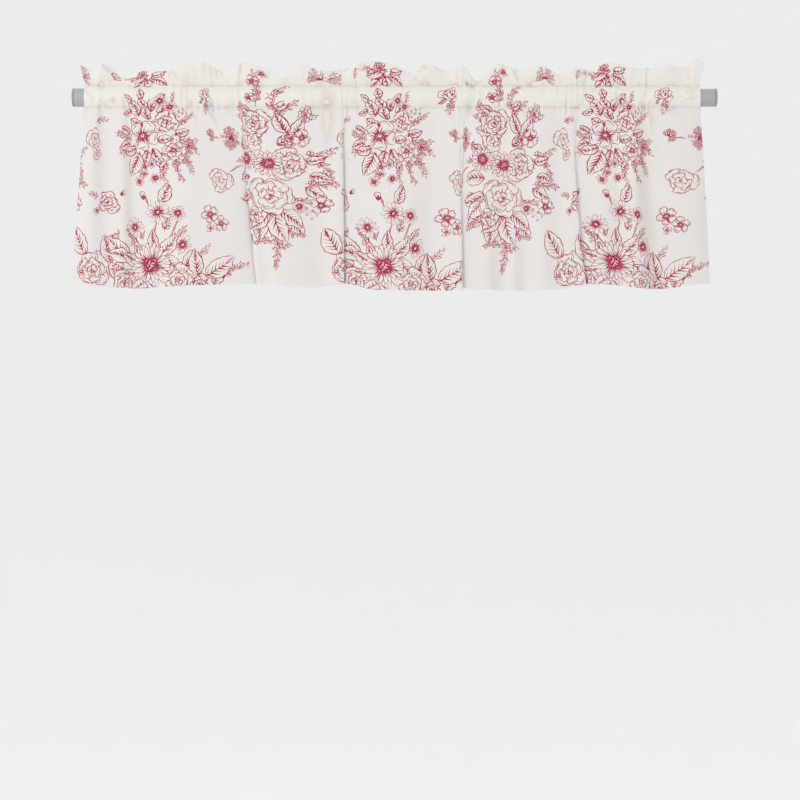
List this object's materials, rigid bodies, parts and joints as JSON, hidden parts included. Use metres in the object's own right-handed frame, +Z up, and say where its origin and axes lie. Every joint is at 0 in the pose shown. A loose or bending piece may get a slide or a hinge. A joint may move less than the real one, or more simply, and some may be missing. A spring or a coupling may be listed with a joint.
{
  "type": "window valance on a rod",
  "caption": "Gathered floral-print window valance with a ruffled heading, hung by its rod pocket on a plain round grey rod with end caps.",
  "frame": {"origin": "on the rod's axis, at the middle of its length", "axes": "+X along the rod to the right as seen from the room, +Y towards the wall, +Z up"},
  "size_m": [1.1287, 0.0369, 0.4041],
  "materials": {
    "printed_cloth": "plain-woven off-white cloth with a crimson floral print",
    "rod_paint": "satin grey paint on a steel tube",
    "cap_plastic": "moulded matte grey plastic"
  },
  "bodies": {
    "root": {"valance_cloth": "printed_cloth", "rod": "rod_paint", "rod_cap_left": "cap_plastic", "rod_cap_right": "cap_plastic"}
  },
  "joints": []
}
